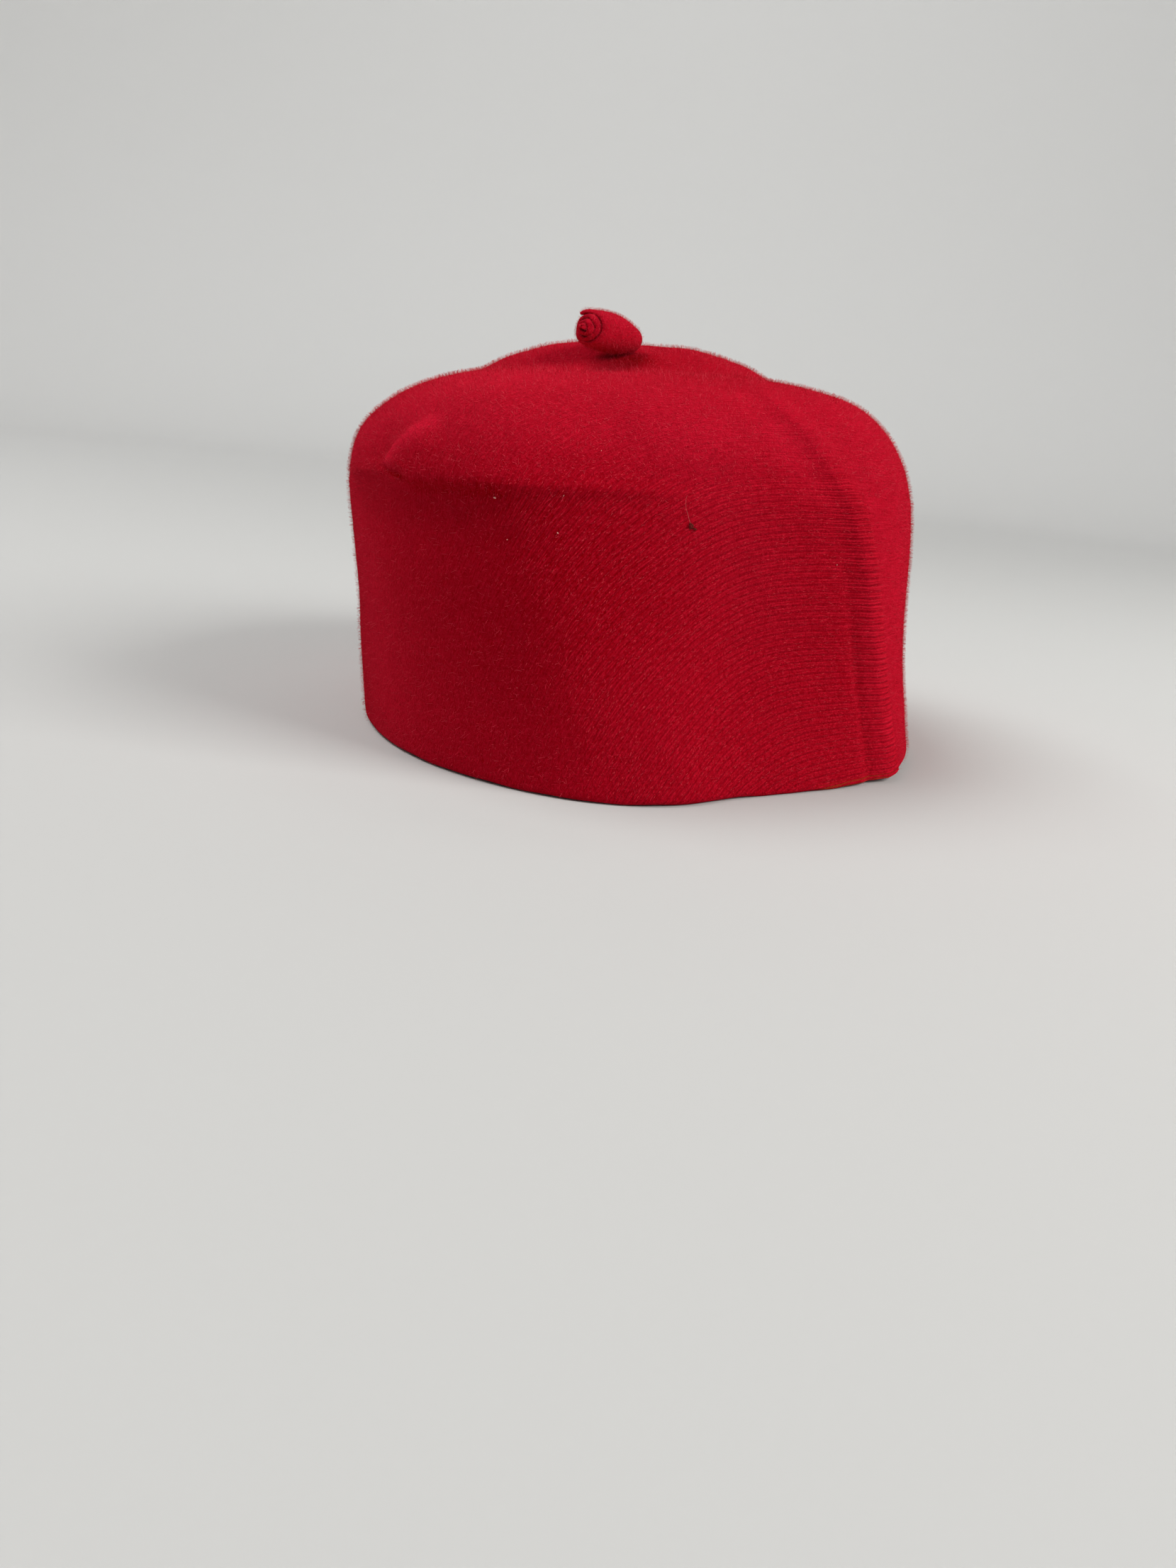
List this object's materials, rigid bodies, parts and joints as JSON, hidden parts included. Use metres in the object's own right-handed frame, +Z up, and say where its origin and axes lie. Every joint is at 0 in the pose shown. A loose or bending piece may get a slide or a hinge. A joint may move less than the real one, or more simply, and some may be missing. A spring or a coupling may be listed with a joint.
{
  "type": "felted wool cap",
  "caption": "brimless round cap of red felted knit, tall wall with a pressed front crease, soft domed crown and a small rolled strip sewn on top",
  "frame": {"origin": "on the ground plane that the rim rests on, under the middle of the cap's box", "axes": "+Z up through the crown, the pressed crease at the rim faces -Y, the pressed flat face lies towards -X and -Y"},
  "size_m": [0.1961, 0.1893, 0.1246],
  "materials": {
    "red_felt": "fulled wool knit with a short nap, fine slanted ribs near the crease"
  },
  "bodies": {
    "root": {"cap_body": "red_felt", "top_roll": "red_felt"}
  },
  "joints": []
}
